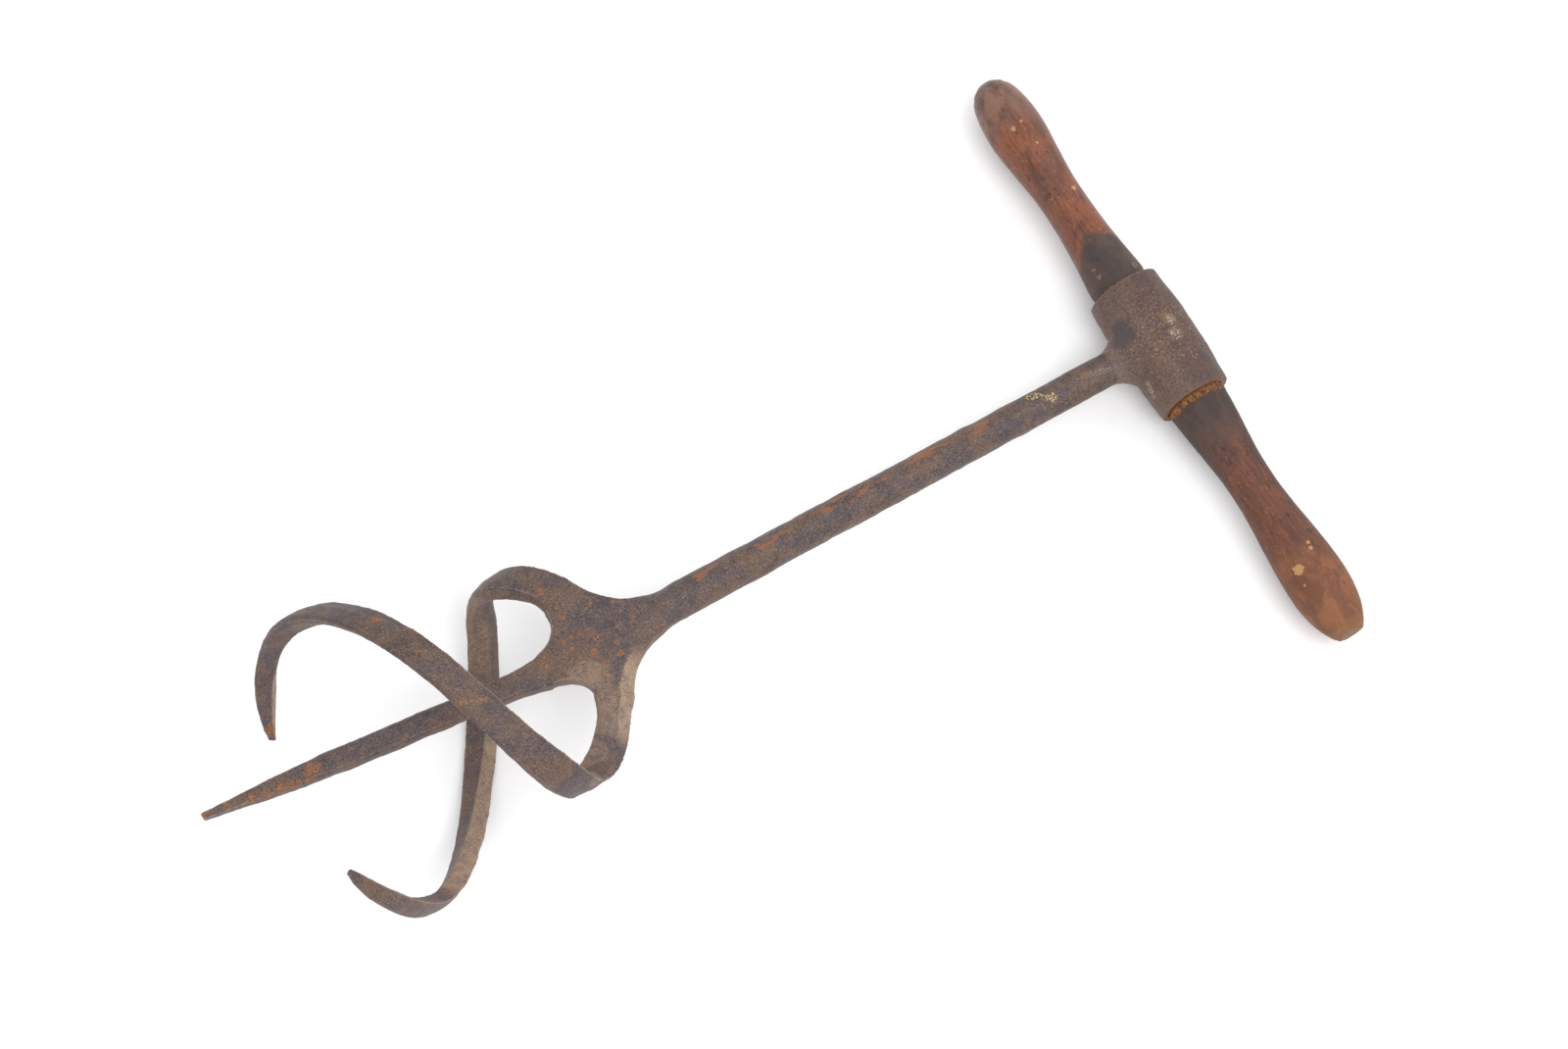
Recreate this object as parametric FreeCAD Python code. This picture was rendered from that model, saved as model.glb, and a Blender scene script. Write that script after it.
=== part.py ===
"""Antique T-handled prong auger for breaking up packed sugar, fruit or earth.

One malleable-iron casting (handle eye, shank, palm, straight spike and two
right-handed coiled prongs) on a turned wooden cross handle.  The casting is
written as one solid per member, and neighbouring members meet on a shared
plane.  Units are millimetres.

The tool is drawn straight, with the eye's centre at the origin, +X from the
spike towards the handle, +Y along the handle and +Z up.  It is then tilted
to the way it lies on a floor, resting on the eye and on one coiled prong,
and moved so that the bottom centre of its box is the origin.
"""
import FreeCAD, Part
import math
import os

from FreeCAD import Vector

# ---- driving dimensions ----
HANDLE_LENGTH = 252.0
HANDLE_OFFSET = -4.5          # middle of the handle from the shank's centreline, along Y
BORE_RADIUS = 11.4            # the handle is driven into the eye, so both share this radius

EYE_LENGTH = 50.0
EYE_OFFSET = -1.0             # middle of the eye from the shank's centreline, along Y
EYE_MID_RADIUS = 15.2
EYE_SHOULDER_RADIUS = 14.9    # halfway out to the rims
EYE_RIM_RADIUS = 14.0

SHANK_TOP = 22.0              # where the eye's neck becomes the shank, from the eye's centre
SHANK_TOP_RADIUS = 6.2
SHANK_FOOT = 207.0            # where the shank becomes the palm
SHANK_FOOT_RADIUS = 6.8

HEAD_START = 211.0            # distances along the palm, spike and prongs count from here
PALM_START = SHANK_FOOT - HEAD_START
SPIKE_ROOT = 50.0             # where the palm becomes the spike
SPIKE_BEND = 53.0             # the spike is bent a little sideways here
SPIKE_ANGLE = 5.7
SPIKE_LENGTH = 180.0

REST_TILT = 6.98              # the prong end lies higher than the eye

# ---- outlines and sections ----
# The handle's profile from each end in to the eye: (distance from the end, radius).
FLAT_END_PROFILE = ((0.0, 5.0), (4.0, 7.6), (13.0, 10.4), (25.0, 11.2), (40.0, 10.2),
                    (56.0, 8.8), (69.0, 8.5), (82.0, 9.3))
DOMED_END_PROFILE = ((0.0, 0.4), (1.0, 4.0), (5.0, 7.9), (12.0, 10.0), (22.0, 10.8),
                     (34.0, 10.1), (45.0, 9.0), (59.0, 8.5), (72.0, 9.0), (82.0, 9.9))

# The neck between barrel and shank: (distance from the eye's centre, half of its
# size along the handle, half of its height, shift along the handle).
NECK_SECTIONS = ((4.0, 19.0, 11.5, -1.0), (11.0, 15.5, 10.4, -1.0), (14.5, 11.0, 8.6, -0.6),
                 (18.0, 7.9, 7.0, -0.2), (SHANK_TOP, SHANK_TOP_RADIUS, SHANK_TOP_RADIUS, 0.0))

# The palm's outline between the prongs' and the spike's roots: (along, across).
# It starts wider than the shank, where only the swell below bounds the palm.
UPPER_FLANK = ((PALM_START, 8.2), (3.0, 7.9), (10.0, 8.6), (17.0, 12.8))
LOWER_FLANK = ((PALM_START, -8.2), (3.0, -7.9), (10.5, -8.7), (17.0, -11.8))
UPPER_HOLE = ((39.4, 14.6), (41.6, 10.6), (45.2, 7.8), (SPIKE_ROOT, 6.2))
LOWER_HOLE = ((40.6, -9.8), (44.5, -7.0), (SPIKE_ROOT, -5.8))

# How the palm's thickness falls from the round shank to a flat web, thickest down
# its middle: ellipses of (along, half width, half height), wider than the web.
PALM_SWELL = ((PALM_START, SHANK_FOOT_RADIUS, SHANK_FOOT_RADIUS), (3.0, 7.1, 6.7),
              (11.0, 11.6, 6.0), (20.0, 24.0, 5.2), (30.0, 44.0, 4.4),
              (SPIKE_ROOT + 1.0, 60.0, 3.8))
PALM_BLANK_HALF = 10.0        # more than half of the palm's thickness anywhere

# Lines down the flank that runs from the shank to the lower prong's sloped edge:
# (along, across, up) of the foot, then the rise from there, inwards and up.
FLANK_SLOPES = (((7.0, -8.8, 3.0), (-0.3, 0.8, 2.5)),
                ((13.5, -10.4, 1.2), (-2.2, 3.0, 4.0)),
                ((19.5, -15.2, -0.8), (-4.4, 3.0, 5.2)))
FLANK_REACH = 24.0            # the cut reaches this far outside the palm

# The spike's section is a square with cut corners: (along, half width, half height).
SPIKE_SECTIONS = ((SPIKE_ROOT, 6.0, 3.7), (58.0, 4.9, 3.7), (70.0, 4.4, 3.6), (100.0, 4.2, 3.4),
                  (125.0, 4.1, 3.2), (140.0, 3.7, 3.0), (155.0, 3.0, 2.5),
                  (SPIKE_LENGTH - 11.0, 2.0, 1.9), (SPIKE_LENGTH - 4.0, 1.6, 1.5),
                  (SPIKE_LENGTH, 1.5, 1.4))
SPIKE_CORNER_UP = 0.30        # how much of a half height each cut corner takes
SPIKE_CORNER_ACROSS = 0.18    # and of a half width

# Prong stations, root to tip.  Each is the distance along the tool, the radius
# and the angle round its axis of the bar's centre; the angle that its outer
# face looks in; the bar's width and depth; and how far the bar has changed from
# a flat bar (0) to a ridged one (1) or to one with a sharp handle-side edge (-1).
UPPER_PRONG = (
    (32.0, 21.5, 0.0, 90.0, 15.0, 7.0, 0.0),
    (36.5, 29.5, 0.0, 84.0, 12.8, 7.0, 0.0),
    (43.0, 35.5, -3.0, 66.0, 12.4, 7.0, 0.0),
    (50.5, 41.0, -14.0, 38.0, 12.6, 6.8, 0.2),
    (56.0, 41.5, -37.0, -18.0, 13.0, 6.8, 0.7),
    (65.5, 45.0, -70.0, -62.0, 12.6, 6.8, 1.0),
    (81.5, 47.5, -100.0, -98.0, 11.4, 6.8, 1.0),
    (99.0, 48.5, -130.0, -130.0, 10.2, 6.8, 1.0),
    (116.5, 51.0, -160.0, -160.0, 10.0, 6.6, 1.0),
    (131.0, 55.0, -190.0, -190.0, 9.2, 6.2, 1.0),
    (142.5, 57.5, -212.0, -212.0, 7.4, 5.4, 1.0),
    (149.5, 58.0, -227.0, -227.0, 4.4, 3.4, 1.0),
)
LOWER_PRONG = (
    (31.8, 17.5, 180.0, 270.0, 15.0, 7.2, 0.0),
    (37.0, 26.5, 180.0, 266.0, 12.2, 7.2, 0.0),
    (45.2, 35.8, 178.0, 248.0, 12.4, 7.2, -0.5),
    (56.2, 43.2, 172.0, 206.0, 13.4, 7.6, -1.0),
    (67.4, 48.0, 150.0, 154.0, 14.4, 7.4, -0.6),
    (81.5, 47.0, 110.0, 118.0, 11.8, 7.4, 1.0),
    (91.0, 49.5, 80.0, 82.0, 11.8, 7.4, 1.0),
    (101.5, 52.0, 50.0, 50.0, 11.6, 7.4, 1.0),
    (114.5, 56.0, 20.0, 20.0, 11.2, 7.4, 1.0),
    (127.0, 58.5, -8.0, -8.0, 10.0, 7.0, 1.0),
    (136.0, 58.0, -32.0, -32.0, 8.4, 6.0, 1.0),
    (140.5, 57.0, -48.0, -48.0, 4.4, 3.6, 1.0),
)
SECTIONS_PER_STATION = 2

# The bar's section in fractions of width and depth: across towards the tip of
# the tool, and outwards from its axis.
FLAT_SECTION = ((-0.50, 0.34), (-0.05, 0.50), (0.40, 0.44), (0.50, 0.10),
                (0.44, -0.42), (0.10, -0.50), (-0.16, -0.48))
RIDGED_SECTION = ((-0.50, 0.36), (-0.05, 0.50), (0.38, 0.42), (0.50, 0.18),
                  (0.42, -0.04), (-0.10, -0.50), (-0.46, 0.18))
SHARP_SECTION = ((-0.50, 0.34), (-0.05, 0.50), (0.40, 0.44), (0.50, 0.10),
                 (0.44, -0.42), (-0.24, -0.40), (-0.46, 0.06))


def head_point(along, across, up=0.0):
    """A point of the prong head: along the tool from its start, across and up."""
    return Vector(-HEAD_START - along, across, up)


def polar_point(along, radius, angle):
    turn = math.radians(angle)
    return head_point(along, radius * math.cos(turn), radius * math.sin(turn))


def polygon_wire(points):
    return Part.makePolygon(list(points) + [points[0]])


def smooth_curve(points):
    curve = Part.BSplineCurve()
    curve.interpolate(points)
    return curve


def mix(start, end, share):
    return start + (end - start) * share


def revolved(profile, axis_point, axis):
    """A solid of revolution from (distance along the axis, radius) points."""
    side = Vector(1, 0, 0)
    points = [axis_point + axis * along + side * radius for along, radius in profile]
    outer = smooth_curve(points).toShape()
    first = axis_point + axis * profile[0][0]
    last = axis_point + axis * profile[-1][0]
    edges = [outer, Part.makeLine(points[-1], last), Part.makeLine(last, first),
             Part.makeLine(first, points[0])]
    face = Part.Face(Part.Wire(edges))
    return face.revolve(axis_point, axis, 360)


def wooden_handle():
    half = HANDLE_LENGTH / 2.0
    axis_point = Vector(0, HANDLE_OFFSET, 0)
    axis = Vector(0, 1, 0)
    eye_low = EYE_OFFSET - EYE_LENGTH / 2.0 - HANDLE_OFFSET
    eye_high = EYE_OFFSET + EYE_LENGTH / 2.0 - HANDLE_OFFSET
    flat_profile = [(inset - half, radius) for inset, radius in FLAT_END_PROFILE]
    domed_profile = [(half - inset, radius) for inset, radius in reversed(DOMED_END_PROFILE)]
    flat_half = revolved(flat_profile + [(eye_low, BORE_RADIUS)], axis_point, axis)
    middle = Part.makeCylinder(BORE_RADIUS, eye_high - eye_low, axis_point + axis * eye_low, axis)
    domed_half = revolved([(eye_high, BORE_RADIUS)] + domed_profile, axis_point, axis)
    return flat_half.fuse([middle, domed_half]).removeSplitter()


def handle_eye():
    """The barrel that the handle passes through, and its neck onto the shank."""
    axis = Vector(0, 1, 0)
    centre = Vector(0, EYE_OFFSET, 0)
    half = EYE_LENGTH / 2.0
    barrel = revolved(((-half, EYE_RIM_RADIUS), (-half / 2.0, EYE_SHOULDER_RADIUS), (0.0, EYE_MID_RADIUS),
                       (half / 2.0, EYE_SHOULDER_RADIUS), (half, EYE_RIM_RADIUS)), centre, axis)
    neck = Part.makeLoft([ellipse_wire(Vector(-along, shift, 0), half_width, half_height)
                          for along, half_width, half_height, shift in NECK_SECTIONS], True, False)
    bore = Part.makeCylinder(BORE_RADIUS, EYE_LENGTH + 2.0, centre - axis * (half + 1.0), axis)
    return barrel.fuse(neck).cut(bore).removeSplitter()


def ellipse_wire(centre, half_width, half_height):
    """A closed ellipse across the tool; a circle when its halves are equal."""
    if abs(half_width - half_height) < 1e-6:
        circle = Part.Circle(centre, Vector(1, 0, 0), half_width)
        return Part.Wire(circle.toShape())
    if half_width > half_height:
        ellipse = Part.Ellipse(centre + Vector(0, half_width, 0), centre + Vector(0, 0, half_height), centre)
    else:
        ellipse = Part.Ellipse(centre + Vector(0, 0, half_height), centre + Vector(0, half_width, 0), centre)
    return Part.Wire(ellipse.toShape())


def shank():
    return Part.makeCone(SHANK_TOP_RADIUS, SHANK_FOOT_RADIUS, SHANK_FOOT - SHANK_TOP,
                         Vector(-SHANK_TOP, 0, 0), Vector(-1, 0, 0))


def section_points(width, depth, ridge):
    other = RIDGED_SECTION if ridge > 0.0 else SHARP_SECTION
    return [(mix(flat[0], changed[0], abs(ridge)) * width, mix(flat[1], changed[1], abs(ridge)) * depth)
            for flat, changed in zip(FLAT_SECTION, other)]


def prong_sections(stations):
    """The bar's sections, as lists of points, along a smooth line through its stations."""
    curve = smooth_curve([polar_point(*station[:3]) for station in stations])
    knots = [curve.parameter(polar_point(*station[:3])) for station in stations]
    places = [step / SECTIONS_PER_STATION for step in range((len(stations) - 1) * SECTIONS_PER_STATION + 1)]
    sections = []
    for place in places:
        index = min(int(place), len(stations) - 2)
        share = place - index
        facing, width, depth, ridge = (mix(near, far, share) for near, far
                                       in zip(stations[index][3:], stations[index + 1][3:]))
        at = mix(knots[index], knots[index + 1], share)
        tangent = curve.tangent(at)[0]
        turn = math.radians(facing)
        looking = Vector(0, math.cos(turn), math.sin(turn))
        outward = (looking - tangent * looking.dot(tangent)).normalize()
        towards_tip = outward.cross(tangent)
        if towards_tip.x > 0:
            towards_tip = -towards_tip
        centre = curve.value(at)
        sections.append([centre + towards_tip * across + outward * out
                         for across, out in section_points(width, depth, ridge)])
    return sections


def prong(stations):
    return Part.makeLoft([polygon_wire(points) for points in prong_sections(stations)], True, False)


def root_corners(stations):
    """The handle-side and the tip-side corner of a prong's first section, in plan."""
    first = prong_sections(stations)[0]
    handle_side = max(first, key=lambda point: point.x)
    tip_side = min(first, key=lambda point: point.x)
    return Vector(handle_side.x, handle_side.y, 0), Vector(tip_side.x, tip_side.y, 0)


def spike_point(along, across, up=0.0):
    """A point of the spike, whose centreline is bent sideways at SPIKE_BEND."""
    bend = math.radians(SPIKE_ANGLE)
    past = along - SPIKE_BEND
    return head_point(SPIKE_BEND + past * math.cos(bend), past * math.sin(bend) + across, up)


def cut_corner_square(half_width, half_height):
    """The eight corners of the spike's section, in order round it."""
    inner_width = half_width * (1.0 - SPIKE_CORNER_ACROSS)
    inner_height = half_height * (1.0 - SPIKE_CORNER_UP)
    quarter = [(half_width, inner_height), (inner_width, half_height)]
    return (quarter + [(-across, up) for across, up in reversed(quarter)]
            + [(-across, -up) for across, up in quarter]
            + [(across, -up) for across, up in reversed(quarter)])


def centre_spike():
    wires = []
    for along, half_width, half_height in SPIKE_SECTIONS:
        corners = cut_corner_square(half_width, half_height)
        wires.append(polygon_wire([spike_point(along, across, up) for across, up in corners]))
    return Part.makeLoft(wires, True, False)


def flank_cutter(rim, tip_side):
    """What is cut away so that the shank's flank runs down onto the lower prong's sloped edge.

    The last of its slopes is the sloped edge of the prong's own first section, carried on
    past the end of the palm.
    """
    depth = LOWER_PRONG[0][5]
    foot_corner, top_corner = FLAT_SECTION[0], FLAT_SECTION[-1]
    slopes = [(head_point(*foot), Vector(*rise)) for foot, rise in FLANK_SLOPES]
    last_foot = rim - Vector(0, 0, foot_corner[1] * depth)
    last_rise = ((tip_side - rim) * (top_corner[0] - foot_corner[0])
                 + Vector(0, 0, (foot_corner[1] - top_corner[1]) * depth))
    past_palm = last_foot - slopes[-1][0]
    slopes += [(last_foot, last_rise), (last_foot + past_palm * 0.5, last_rise)]
    wires = []
    for foot, rise in slopes:
        low, high = foot - rise, foot + rise * 2.0
        outside = high - Vector(rise.x, rise.y, 0).normalize() * FLANK_REACH
        wires.append(polygon_wire([low, high, outside]))
    return Part.makeLoft(wires, True, True)


def palm_outline():
    """The palm's outline, a closed wire through the corners that it shares with the prongs' roots."""
    upper_outer, upper_inner = root_corners(UPPER_PRONG)
    lower_outer, lower_inner = root_corners(LOWER_PRONG)
    stretches = ([head_point(*place) for place in UPPER_FLANK] + [upper_outer],
                 [upper_inner] + [head_point(*place) for place in UPPER_HOLE],
                 [head_point(*place) for place in reversed(LOWER_HOLE)] + [lower_inner],
                 [lower_outer] + [head_point(*place) for place in reversed(LOWER_FLANK)])
    edges = []
    for stretch, following in zip(stretches, stretches[1:] + stretches[:1]):
        edges.append(smooth_curve(stretch).toShape())
        edges.append(Part.makeLine(stretch[-1], following[0]))
    return Part.Wire(edges)


def palm():
    """The flat web that the shank opens into, and that the three prongs leave."""
    face = Part.Face(palm_outline())
    face.translate(Vector(0, 0, -PALM_BLANK_HALF))
    blank = face.extrude(Vector(0, 0, 2.0 * PALM_BLANK_HALF))
    swell = Part.makeLoft([ellipse_wire(head_point(along, 0.0), half_width, half_height)
                           for along, half_width, half_height in PALM_SWELL], True, False)
    flank = flank_cutter(*root_corners(LOWER_PRONG))
    return blank.common(swell).cut(flank).removeSplitter()


def build_tool():
    return {
        "wooden_handle": wooden_handle(),
        "handle_eye": handle_eye(),
        "shank": shank(),
        "palm": palm(),
        "centre_spike": centre_spike(),
        "upper_prong": prong(UPPER_PRONG),
        "lower_prong": prong(LOWER_PRONG),
    }


def laid_down(nodes):
    """Tilt the tool to its resting pose and stand its box on the origin."""
    for shape in nodes.values():
        shape.rotate(Vector(0, 0, 0), Vector(0, 1, 0), REST_TILT)
    box = Part.makeCompound(list(nodes.values())).optimalBoundingBox(False)
    shift = Vector(-(box.XMin + box.XMax) / 2.0, -(box.YMin + box.YMax) / 2.0, -box.ZMin)
    for shape in nodes.values():
        shape.translate(shift)
    return nodes


def main():
    os.makedirs("parts", exist_ok=True)
    for name, shape in laid_down(build_tool()).items():
        shape.exportStep("parts/" + name + ".step")


main()
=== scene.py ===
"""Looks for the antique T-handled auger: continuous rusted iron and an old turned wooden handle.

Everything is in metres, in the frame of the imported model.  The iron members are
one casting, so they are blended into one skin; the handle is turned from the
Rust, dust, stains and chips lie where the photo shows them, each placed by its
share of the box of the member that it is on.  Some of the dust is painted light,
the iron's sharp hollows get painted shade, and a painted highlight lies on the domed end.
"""
import math

import bmesh
import bpy
import numpy as np
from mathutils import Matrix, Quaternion, Vector, noise
from mathutils.bvhtree import BVHTree


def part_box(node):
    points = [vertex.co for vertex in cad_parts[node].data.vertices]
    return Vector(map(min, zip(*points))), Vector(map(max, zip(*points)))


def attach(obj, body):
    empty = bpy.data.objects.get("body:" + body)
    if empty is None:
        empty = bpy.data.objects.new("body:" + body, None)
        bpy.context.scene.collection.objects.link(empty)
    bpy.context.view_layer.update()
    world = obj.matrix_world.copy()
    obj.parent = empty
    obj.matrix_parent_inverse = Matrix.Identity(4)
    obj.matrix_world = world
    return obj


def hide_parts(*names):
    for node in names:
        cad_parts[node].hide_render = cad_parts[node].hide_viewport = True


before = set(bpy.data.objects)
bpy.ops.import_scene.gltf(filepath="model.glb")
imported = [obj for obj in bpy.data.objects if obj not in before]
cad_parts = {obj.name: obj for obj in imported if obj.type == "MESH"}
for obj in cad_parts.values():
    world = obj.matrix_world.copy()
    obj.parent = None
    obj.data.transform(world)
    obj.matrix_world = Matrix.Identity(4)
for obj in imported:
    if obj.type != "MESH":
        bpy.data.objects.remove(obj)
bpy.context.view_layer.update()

MM = 0.001
IRON_NODES = ("handle_eye", "shank", "palm", "centre_spike", "upper_prong", "lower_prong")


def node_place(node, share_x, share_y, share_z):
    """A point of a frame node's box, by its share of the way from the low to the high corner."""
    low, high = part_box(node)
    return Vector((low.x + (high.x - low.x) * share_x, low.y + (high.y - low.y) * share_y,
                   low.z + (high.z - low.z) * share_z))


def top_place(node, share_x, share_y):
    """The point on top of a frame node, by its share of the way along the box's X and Y."""
    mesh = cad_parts[node].data
    skin = BVHTree.FromPolygons([vertex.co for vertex in mesh.vertices],
                                [face.vertices for face in mesh.polygons])
    above = node_place(node, share_x, share_y, 1.1)
    return skin.ray_cast(above, Vector((0.0, 0.0, -1.0)))[0]


# ---- places worked out from the frame ----
HANDLE_LOW, HANDLE_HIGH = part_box("wooden_handle")
HANDLE_MIDDLE = (HANDLE_LOW + HANDLE_HIGH) / 2.0
HANDLE_LENGTH = HANDLE_HIGH.y - HANDLE_LOW.y
EYE_LOW, EYE_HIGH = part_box("handle_eye")
EYE_CENTRE = Vector((HANDLE_MIDDLE.x, (EYE_LOW.y + EYE_HIGH.y) / 2.0, HANDLE_MIDDLE.z))
EYE_HALF = (EYE_HIGH.y - EYE_LOW.y) / 2.0
SHANK_LOW, SHANK_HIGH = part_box("shank")
SHANK_AXIS_Y = (SHANK_LOW.y + SHANK_HIGH.y) / 2.0
PALM_LOW, PALM_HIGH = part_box("palm")
PALM_CENTRE = (PALM_LOW + PALM_HIGH) / 2.0

# ---- iron skin ----
SKIN_VOXEL = 0.42 * MM
SKIN_SMOOTHING = 2
JOIN_SMOOTHING = 5            # extra rounds of smoothing where members run into each other
IRON_SURFACE = ((9.0 * MM, 0.32 * MM), (3.0 * MM, 0.12 * MM), (1.3 * MM, 0.06 * MM))
WEAR_ROUNDS = 16              # rounds of smoothing that an edge's wear is measured by
WEAR_DEPTH = 0.22 * MM        # what an edge loses to that smoothing when it is fully worn bright
JOIN_MARGIN = 3.0 * MM        # it reaches this far past the palm, and twice as far up the shank
JOIN_FADE = 5.0 * MM          # and fades in over this distance
NECK_FADE = 8.0 * MM          # the same, where the shank meets the eye's neck
NECK_END = 6.0 * MM           # the neck's own smoothing stops this far from the eye's centre

# where each prong's worn end comes to a corner, by share of the prong's box
PRONG_TIPS = (node_place("upper_prong", 0.024, 0.167, 0.995),
              node_place("lower_prong", 0.024, 0.772, 0.031))
TIP_REACH = 5.5 * MM
TIP_PULL = 0.75               # how much of the way to the corner its nearest points are drawn
TIP_FULLNESS = 0.8            # below 1, the pull stays strong further from the corner

# ---- wooden handle ----
HANDLE_RINGS = 420
HANDLE_AROUND = 112
WOOD_SURFACE = ((30.0 * MM, 0.35 * MM), (7.0 * MM, 0.10 * MM))
MOUTH_GAP = 0.9 * MM          # the wood has shrunk away from the eye's mouths
MOUTH_DEPTH = 4.0 * MM
CRUST_LENGTH = 3.4 * MM       # rust built up on the wood at the eye's lower mouth
CRUST_HEIGHT = 0.9 * MM
OUT_OF_ROUND = 0.012          # share of the radius
OUT_OF_ROUND_TWIST = 11.0     # radians for each metre along the handle
CUT_SLANT = 1.2 * MM          # how far back the worn side of the cut end lies
CUT_SIDE = 2.2                # which side that is, in radians from +X to up
CUT_WAVE = 0.6 * MM           # how uneven the cut end is
CUT_REACH = 7.0 * MM          # how far along the handle both are felt

# ---- stage ----
FLOOR_HALF = 3.0
FLOOR_COLOUR = (0.93, 0.93, 0.935, 1.0)
WORLD_COLOUR = (1.0, 1.0, 1.0, 1.0)
WORLD_STRENGTH = 1.05
# name, azimuth and elevation in degrees, distance, diameter, power in watts
LIGHTS = (("key", 18.0, 66.0, 1.6, 0.9, 9.5), ("fill", 90.0, 40.0, 1.8, 1.0, 4.0))
# the photo's own view: angles in degrees, lens and sensor in millimetres
VIEW_AZIMUTH = -26.1
VIEW_ELEVATION = 73.2
VIEW_ROLL = -5.0
VIEW_DISTANCE = 1.4
VIEW_LENS = 87.3
SENSOR_WIDTH = 36.0
# the point looked at, from where the shank's axis meets the handle's
AIM_FROM_HANDLE = Vector((-0.1535, 0.0134, -0.0065))


# ---------------------------------------------------------------- mesh helpers

def new_object(name, data):
    """A new object in the scene that holds a mesh, a light or a camera."""
    thing = bpy.data.objects.new(name, data)
    bpy.context.scene.collection.objects.link(thing)
    return thing


def apply_modifiers(piece):
    """Bake a piece's modifiers into its mesh."""
    graph = bpy.context.evaluated_depsgraph_get()
    finished = bpy.data.meshes.new_from_object(piece.evaluated_get(graph))
    piece.modifiers.clear()
    piece.data = finished


def shade_smooth(mesh):
    mesh.polygons.foreach_set("use_smooth", [True] * len(mesh.polygons))


def vertex_places(mesh):
    places = np.empty(len(mesh.vertices) * 3)
    mesh.vertices.foreach_get("co", places)
    return places.reshape(-1, 3)


def keep_largest_shell(mesh):
    """Drop loose shells left inside the skin where two members met."""
    body = bmesh.new()
    body.from_mesh(mesh)
    unseen = set(body.verts)
    shells = []
    while unseen:
        start = unseen.pop()
        shell = {start}
        front = [start]
        while front:
            vert = front.pop()
            for link in vert.link_edges:
                other = link.other_vert(vert)
                if other in unseen:
                    unseen.discard(other)
                    shell.add(other)
                    front.append(other)
        shells.append(shell)
    shells.sort(key=len)
    for shell in shells[:-1]:
        bmesh.ops.delete(body, geom=list(shell), context="VERTS")
    body.to_mesh(mesh)
    body.free()


def roughen(mesh, layers):
    """Push vertices along their normals by (size, height) layers of noise."""
    places = vertex_places(mesh)
    normals = np.array([vertex.normal for vertex in mesh.vertices])
    height = np.zeros(len(places))
    for size, amount in layers:
        height += amount * np.array([noise.noise(Vector(place) / size) for place in places])
    moved = places + normals * height[:, None]
    mesh.vertices.foreach_set("co", moved.ravel())
    mesh.update()


def smooth_where(piece, weights, rounds):
    """Smooth a piece's mesh, each vertex by its weight from 0 to 1.  The piece gets a new mesh."""
    group = piece.vertex_groups.new(name="joined")
    for index in np.nonzero(weights > 0.01)[0]:
        group.add([int(index)], float(weights[index]), "REPLACE")
    smooth = piece.modifiers.new("joined", "SMOOTH")
    smooth.factor = 0.5
    smooth.iterations = rounds
    smooth.vertex_group = group.name
    apply_modifiers(piece)
    piece.vertex_groups.clear()


def draw_out_tip(mesh, corner, reach):
    """Draw the end of a prong towards one corner, most at the corner itself."""
    places = vertex_places(mesh)
    offsets = np.array(corner) - places
    nearness = np.clip(1.0 - np.linalg.norm(offsets, axis=1) / reach, 0.0, 1.0)
    places += offsets * (TIP_PULL * nearness ** TIP_FULLNESS)[:, None]
    mesh.vertices.foreach_set("co", places.ravel())
    mesh.update()


def mark_worn_edges(piece):
    """Store how sharp each vertex's surroundings are: 1 on an outer edge, -1 in a sharp hollow."""
    mesh = piece.data
    places = vertex_places(mesh)
    normals = np.array([vertex.normal for vertex in mesh.vertices])
    smooth_where(piece, np.ones(len(places)), WEAR_ROUNDS)
    lost = ((places - vertex_places(piece.data)) * normals).sum(axis=1)
    piece.data = mesh
    worn = mesh.attributes.new("worn_edge", "FLOAT", "POINT")
    worn.data.foreach_set("value", np.clip(lost / WEAR_DEPTH, -1.0, 1.0))


# ---------------------------------------------------------------- pieces

def join_weights(places):
    """1 where the prongs and spike leave the palm and where the neck meets the eye, 0 elsewhere."""
    x = places[:, 0]
    past_low = (x - PALM_LOW.x + JOIN_MARGIN) / (2.0 * JOIN_MARGIN)
    past_high = (PALM_HIGH.x + 2.0 * JOIN_MARGIN - x) / (2.0 * JOIN_MARGIN)
    near_palm = np.minimum(past_low, past_high)
    for axis in (1, 2):
        near_palm = np.minimum(near_palm, (places[:, axis] - PALM_LOW[axis] + JOIN_MARGIN) / JOIN_FADE)
        near_palm = np.minimum(near_palm, (PALM_HIGH[axis] + JOIN_MARGIN - places[:, axis]) / JOIN_FADE)
    at_neck = (EYE_CENTRE.x - NECK_END - x) / (NECK_FADE / 2.0)
    at_neck = np.minimum(at_neck, (x - EYE_LOW.x + NECK_FADE) / NECK_FADE)
    return np.clip(np.maximum(near_palm, at_neck), 0.0, 1.0)


def iron_skin():
    """One continuous skin over the iron members, with worn edges and a hammered surface."""
    blank = bmesh.new()
    for node in IRON_NODES:
        blank.from_mesh(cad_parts[node].data)
    mesh = bpy.data.meshes.new("auger_iron")
    blank.to_mesh(mesh)
    blank.free()
    piece = new_object("auger_iron", mesh)
    remesh = piece.modifiers.new("skin", "REMESH")
    remesh.mode = "VOXEL"
    remesh.voxel_size = SKIN_VOXEL
    smooth = piece.modifiers.new("worn", "SMOOTH")
    smooth.factor = 0.5
    smooth.iterations = SKIN_SMOOTHING
    apply_modifiers(piece)
    keep_largest_shell(piece.data)
    smooth_where(piece, join_weights(vertex_places(piece.data)), JOIN_SMOOTHING)
    for corner in PRONG_TIPS:
        draw_out_tip(piece.data, corner, TIP_REACH)
    mark_worn_edges(piece)
    roughen(piece.data, IRON_SURFACE)
    shade_smooth(piece.data)
    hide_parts(*IRON_NODES)
    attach(piece, "root")
    return piece


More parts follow.
